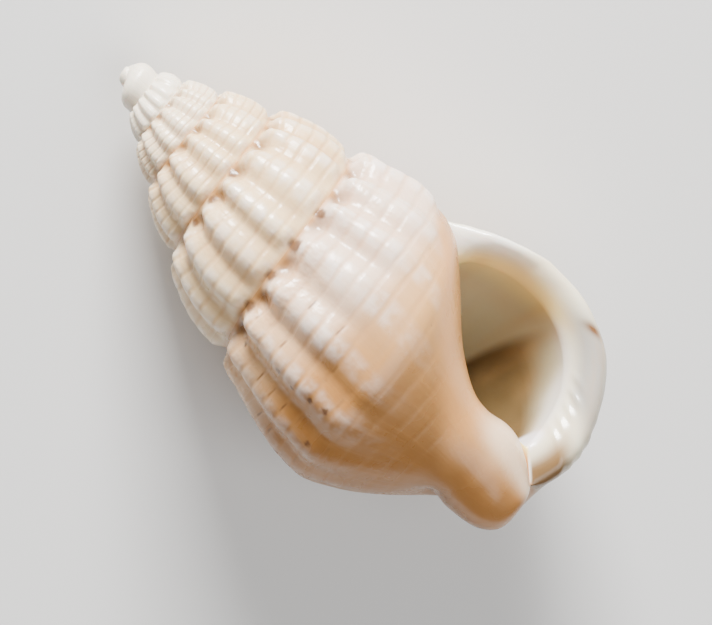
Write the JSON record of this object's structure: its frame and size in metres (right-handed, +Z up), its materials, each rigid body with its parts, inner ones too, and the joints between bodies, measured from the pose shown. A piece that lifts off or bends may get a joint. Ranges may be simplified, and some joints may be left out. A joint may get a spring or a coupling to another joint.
{
  "type": "poor dogwhelk shell",
  "caption": "Small turreted whelk shell with axial ribs, deep sutures, a flared oval mouth with a thick smooth lip and a short canal; lies on its back for display or scattering.",
  "frame": {"origin": "centre of the bounding box in plan, on the flat plane that the shell lies on", "axes": "+Z up from the ground with the mouth facing up, +Y roughly along the coiling axis towards the apex, +X towards the outer lip"},
  "size_m": [0.0074, 0.013, 0.0065],
  "materials": {
    "shell": "gloss"
  },
  "bodies": {
    "root": {"shell": "shell"}
  },
  "joints": []
}
